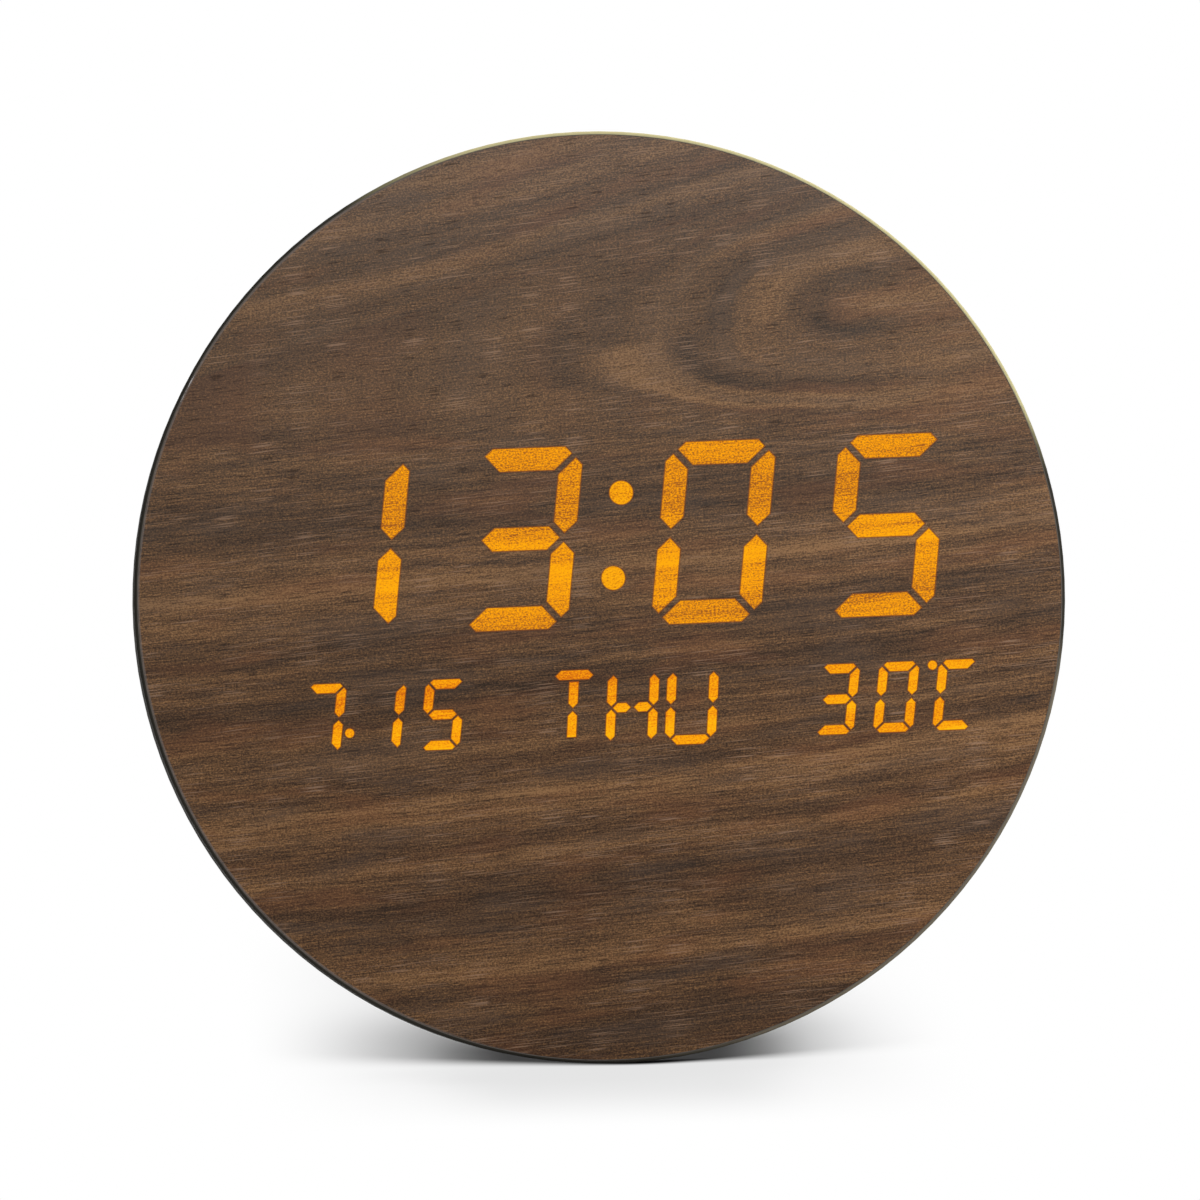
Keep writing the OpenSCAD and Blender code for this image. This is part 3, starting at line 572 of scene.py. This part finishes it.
def merged_copy(node, name):
    """A copy of a CAD node with its triangles merged to whole faces, left in edit mode."""
    piece = bpy.data.objects.new(name, nodes[node].data.copy())
    bpy.context.scene.collection.objects.link(piece)
    alone(piece)
    bpy.ops.object.mode_set(mode="EDIT")
    bpy.ops.mesh.select_all(action="SELECT")
    bpy.ops.mesh.remove_doubles(threshold=0.000002)
    bpy.ops.mesh.dissolve_limited(angle_limit=math.radians(0.5))
    return piece


def placed(piece, turn, place):
    """Turns a piece from its upright start, moves it to its place and applies both to its mesh."""
    piece.rotation_euler = turn
    piece.location = place
    alone(piece)
    bpy.ops.object.transform_apply(location=True, rotation=True, scale=True)


# Lit bars and the film round them, with their narrow borders in metres

TIME_BORDER = 0.00024
DOT_BORDER = 0.00022
SMALL_BORDER = 0.00017
WINDOW_BORDER = 0.00016


def bordered_front(node, name, slot, width, mark, value):
    """The node with a narrow border cut into its front. The mark holds a value at each corner."""
    piece = merged_copy(node, name)
    pick_faces(piece, lambda face: face.normal.dot(FRONT) > 0.999)
    bpy.ops.mesh.inset(thickness=width, depth=0, use_even_offset=True)
    mesh = bmesh.from_edit_mesh(piece.data)
    layer = mesh.verts.layers.float.new(mark)
    within = {corner for face in mesh.faces if face.select for corner in face.verts}
    for corner in mesh.verts:
        corner[layer] = value(corner, corner in within)
    bmesh.update_edit_mesh(piece.data)
    finished(piece, "clock", slot)
    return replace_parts(piece, node)


def full_light(corner, within):
    """1 within a lit bar, 0 at its edge."""
    return 1.0 if within else 0.0


def spilled_light(corner, within):
    """1 at the edge of a window in the film, 0 within the film and at its rim."""
    from_centre = (corner.co - FACE_CENTRE).length * MM_IN_METRE
    return 0.0 if within or from_centre > FILM_R - 1 else 1.0


def lit_bars(word, node, slot, width):
    """Lit bars whose light fades over a narrow border."""
    return bordered_front(node, word + "_light", slot, width, "fullness", full_light)


for word in ("hour_tens", "hour_ones", "minute_tens", "minute_ones"):
    lit_bars(word, word + "_bars", "time_glow", TIME_BORDER)
lit_bars("colon", "colon_dots", "time_glow", DOT_BORDER).data.materials[0] = DOT_AMBER
for word in ("date", "weekday", "temperature"):
    lit_bars(word, word + "_bars", "small_glow", SMALL_BORDER)
bordered_front("veneer_face", "walnut_face", "walnut_film", WINDOW_BORDER, "spill", spilled_light)


# Mouldings with their sharp edges broken, and the small relief on the back

# Places on the back in millimetres of the clock's own frame: rims start just inside the cover, and marks
# stand on the button caps, a triangle a little off the middle so that it looks centred
RIM_Y = 23.95
CAP_Y = 25.9
BUTTON_X = -84
BUTTON_Z = {"set": 18, "up": 0, "down": -18}
TRIANGLE_SHIFT = 0.3

# Sizes of the relief in metres, apart from the ridge's length, height and width in millimetres
RIM_SIDES = 72
DOT_SIDES = 24
DOT_R = 0.0012
TRIANGLE_SIDES = 3
TRIANGLE_R = 0.0019
MARK_HEIGHT = 0.0006
MARK_BEVEL = 0.00015
RIDGES = 7
RIDGE_SIZE = (26, 1.2, 1.6)
RIDGE_BEVEL = 0.0005
RIDGE_STEP = 0.0034
LOWEST_RIDGE = (0, -0.9, -168)


def softened(node, body, slot, width):
    """A moulding with the shape of a CAD node and its sharp outer edges rounded. It stands for the node."""
    piece = merged_copy(node, node + "_moulding")
    pick_edges(piece, sharp_outside)
    bpy.ops.mesh.bevel(offset=width, segments=2, clamp_overlap=False)
    finished(piece, body, slot)
    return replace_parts(piece, node)


def raised_mark(word, sides, radius, point_down, shift):
    """Low raised mark on a button's cap: a triangle with three sides, a dot with many."""
    bpy.ops.object.select_all(action="DESELECT")
    bpy.ops.mesh.primitive_cylinder_add(vertices=sides, radius=radius, depth=MARK_HEIGHT)
    mark = bpy.context.object
    mark.name = word + "_mark"
    turn = (FACING_BACK, 0, 0) if point_down else (FACING_BACK, 0, math.pi)
    placed(mark, turn, on_disc(BUTTON_X, CAP_Y, BUTTON_Z[word] + shift))
    bpy.ops.object.mode_set(mode="EDIT")
    pick_edges(mark, sharp_outside)
    bpy.ops.mesh.bevel(offset=MARK_BEVEL, segments=2)
    return finished(mark, word + "_button", "button")


def raised_ring(name, inner, outer, height, x, z):
    """Low moulded rim round the hole at x and z in the back cover, with its two radii and its height."""
    bpy.ops.object.select_all(action="DESELECT")
    bpy.ops.mesh.primitive_circle_add(vertices=RIM_SIDES, radius=inner)
    ring = bpy.context.object
    ring.name = name
    bpy.ops.object.mode_set(mode="EDIT")
    bpy.ops.mesh.select_all(action="SELECT")
    bpy.ops.mesh.extrude_region_move()
    bpy.ops.transform.resize(value=(outer / inner, outer / inner, 1))
    bpy.ops.mesh.select_all(action="SELECT")
    bpy.ops.mesh.extrude_region_move(TRANSFORM_OT_translate={"value": (0, 0, height)})
    bpy.ops.mesh.select_all(action="SELECT")
    bpy.ops.mesh.normals_make_consistent(inside=False)
    pick_edges(ring, lambda edge: sharp_outside(edge) and min(v.co.z for v in edge.verts) > height / 2)
    bpy.ops.mesh.bevel(offset=height * 0.4, segments=3)
    bpy.ops.object.mode_set(mode="OBJECT")
    placed(ring, (FACING_BACK, 0, 0), on_disc(x, RIM_Y, z))
    bpy.ops.object.mode_set(mode="EDIT")
    return finished(ring, "clock", "cover")


def grip_ridges():
    """Thumb grip: a row of low ridges in the leg's panel near its foot."""
    bpy.ops.object.select_all(action="DESELECT")
    bpy.ops.mesh.primitive_cube_add(size=1 / MM_IN_METRE)
    ridge = bpy.context.object
    ridge.name = "leg_grip"
    bpy.ops.object.mode_set(mode="EDIT")
    bpy.ops.mesh.select_all(action="SELECT")
    bpy.ops.transform.resize(value=RIDGE_SIZE)
    pick_edges(ridge, lambda edge: sharp_outside(edge) and max(v.co.y for v in edge.verts) > 0)
    bpy.ops.mesh.bevel(offset=RIDGE_BEVEL, segments=3)
    bpy.ops.mesh.select_all(action="SELECT")
    for _ in range(RIDGES - 1):
        bpy.ops.mesh.duplicate_move(TRANSFORM_OT_translate={"value": (0, 0, RIDGE_STEP)})
    bpy.ops.object.mode_set(mode="OBJECT")
    placed(ridge, (LEG_OPEN, 0, 0), on_leg(*LOWEST_RIDGE))
    bpy.ops.object.mode_set(mode="EDIT")
    return finished(ridge, "stand", "leg")


softened("rear_cover", "clock", "cover", 0.00035)
softened("dc_jack", "clock", "jack", 0.0002)
softened("cell_door", "cell_door", "door", 0.0003)
softened("easel_leg", "stand", "leg", 0.0005)
softened("leg_pads", "stand", "pad_rubber", 0.0004)
for word in BUTTON_Z:
    softened(word + "_button", word + "_button", "button", 0.00015)

raised_mark("set", DOT_SIDES, DOT_R, True, 0)
raised_mark("up", TRIANGLE_SIDES, TRIANGLE_R, False, -TRIANGLE_SHIFT)
raised_mark("down", TRIANGLE_SIDES, TRIANGLE_R, True, TRIANGLE_SHIFT)
for word, button_z in BUTTON_Z.items():
    raised_ring(word + "_button_rim", 0.0047, 0.0058, 0.0005, BUTTON_X, button_z)
raised_ring("inlet_rim", 0.0055, 0.0068, 0.0006, 80, -27.9)
raised_ring("door_rim", 0.0138, 0.0152, 0.0005, 64, 20.3)
grip_ridges()


# Stage: white floor, soft lights and the camera

ROOM_LIGHT = 0.27
FLOOR_SIZE = 12
FLOOR_TONE = 0.86
# Colour of the floor under the clock's rim, where a painted contact shadow darkens it
PAINTED_SHADOW_TONE = 0.16

# Foremost point of the shadow at the clock's foot and how round the shadow is there, in metres
FOOT_X = 0.006
FOOT_Y = -0.0302
FOOT_ROUNDING = 0.012


def seen_ray(finish):
    """1 for rays from the camera, from gloss and through glass."""
    rays = finish.node("ShaderNodeLightPath", {}, {}, "all")
    by_name = {ray.socket.name: ray for ray in rays}
    seen = by_name["Is Camera Ray"] + by_name["Is Glossy Ray"] + by_name["Is Transmission Ray"]
    return finish.clamped(seen)


def white_floor():
    """White table. Away from the clock's foot it is seen as pure white, near the foot it takes the clock's
    shadow. White is painted over that shadow so that it ends in a soft line in front of the foot and fades
    to the sides and back, and a painted contact shadow darkens the floor under the rim."""
    finish = Finish("white table")
    x, y, _ = finish.split(finish.object_point())
    forward = y + 0.08 * x
    aside = x - FOOT_X
    off_foot = finish.math("SQRT", aside * aside + FOOT_ROUNDING ** 2)
    x = finish.math("ABSOLUTE", x)
    # Masks where white is painted over the real shadow: beside, behind and in front of the foot
    beside = finish.smooth(x, 0.040, 0.100)
    behind = 0.6 * finish.smooth(y, 0.0, 0.06) + 0.4 * finish.smooth(y, 0.06, 0.16)
    front_edge = 0.17 * off_foot - 0.05 * aside + FOOT_Y
    softness = 0.11 * off_foot
    edge = finish.smooth((front_edge - y) / softness, -1, 1)
    before = 0.78 * edge + 0.22 * finish.smooth(forward, -0.045, -0.09)
    away = 1 - (1 - beside) * (1 - behind) * (1 - before)
    # Painted contact shadow: the floor darker under the clock's rim
    painted_contact_shadow = finish.smooth(x, 0.056, 0.026) * finish.smooth(y, 0.012, -0.01)
    tone = finish.blend(painted_contact_shadow, FLOOR_TONE, PAINTED_SHADOW_TONE)
    white = finish.node("ShaderNodeBsdfDiffuse", {}, {"Color": tone})
    pure = finish.node("ShaderNodeEmission", {}, {"Color": (1, 1, 1, 1), "Strength": 1.0})
    seen = finish.node("ShaderNodeMixShader", {}, {0: seen_ray(finish) * away, 1: white, 2: pure})
    finish.node("ShaderNodeOutputMaterial", {}, {0: seen}, "all")
    return finish.material


def add_floor():
    bpy.ops.mesh.primitive_plane_add(size=FLOOR_SIZE, location=(0, 0, 0))
    floor = bpy.context.object
    floor.name = "table"
    floor.data.materials.append(white_floor())


def add_world():
    """Pale room."""
    world = bpy.data.worlds.new("pale room")
    bpy.context.scene.world = world
    world.use_nodes = True
    back = world.node_tree.nodes["Background"]
    back.inputs["Color"].default_value = (1, 1, 1, 1)
    back.inputs["Strength"].default_value = ROOM_LIGHT


def add_softbox(name, place, aim, size, power):
    lamp = bpy.data.lights.new(name, "AREA")
    lamp.shape = "RECTANGLE"
    lamp.size, lamp.size_y = size
    lamp.energy = power
    box = bpy.data.objects.new(name, lamp)
    bpy.context.scene.collection.objects.link(box)
    box.location = place
    box.rotation_euler = (Vector(aim) - Vector(place)).to_track_quat("-Z", "Y").to_euler()


def add_camera():
    """Far camera, a little left of the face's axis and under it, rolled so that the readout rises to
    the right."""
    azimuth, elevation, roll = math.radians(-3.5), math.radians(13.5), math.radians(1.39)
    distance = 3.2
    frame_width = 0.3216
    sensor = 36
    level = math.cos(elevation)
    towards = Vector((math.sin(azimuth) * level, -math.cos(azimuth) * level, math.sin(elevation)))
    turn = towards.to_track_quat("Z", "Y").to_matrix() @ Matrix.Rotation(-roll, 3, "Z")
    aim = FACE_CENTRE + turn @ Vector((-0.00019, -0.00086, 0))
    lens = bpy.data.cameras.new("camera")
    lens.sensor_width = sensor
    lens.lens = sensor * distance / frame_width
    lens.clip_end = 30
    camera = bpy.data.objects.new("camera", lens)
    bpy.context.scene.collection.objects.link(camera)
    camera.location = aim + towards * distance
    camera.rotation_euler = turn.to_euler()
    bpy.context.scene.camera = camera


bpy.context.scene.view_settings.view_transform = "Standard"
add_floor()
add_world()
add_softbox("right softbox", (0.66, -0.48, 0.60), (0, 0, 0.14), (0.6, 0.6), 5.2)
add_softbox("overhead softbox", (0.10, -0.30, 0.66), (0, 0, 0.10), (0.7, 0.36), 0.95)
add_softbox("rim softbox", (0.20, 0.20, 0.66), (0.02, 0, 0.24), (0.40, 0.22), 1.6)
add_softbox("back softbox", (-0.50, 0.90, 0.70), (0, 0.02, 0.12), (0.7, 0.5), 5.0)
add_camera()
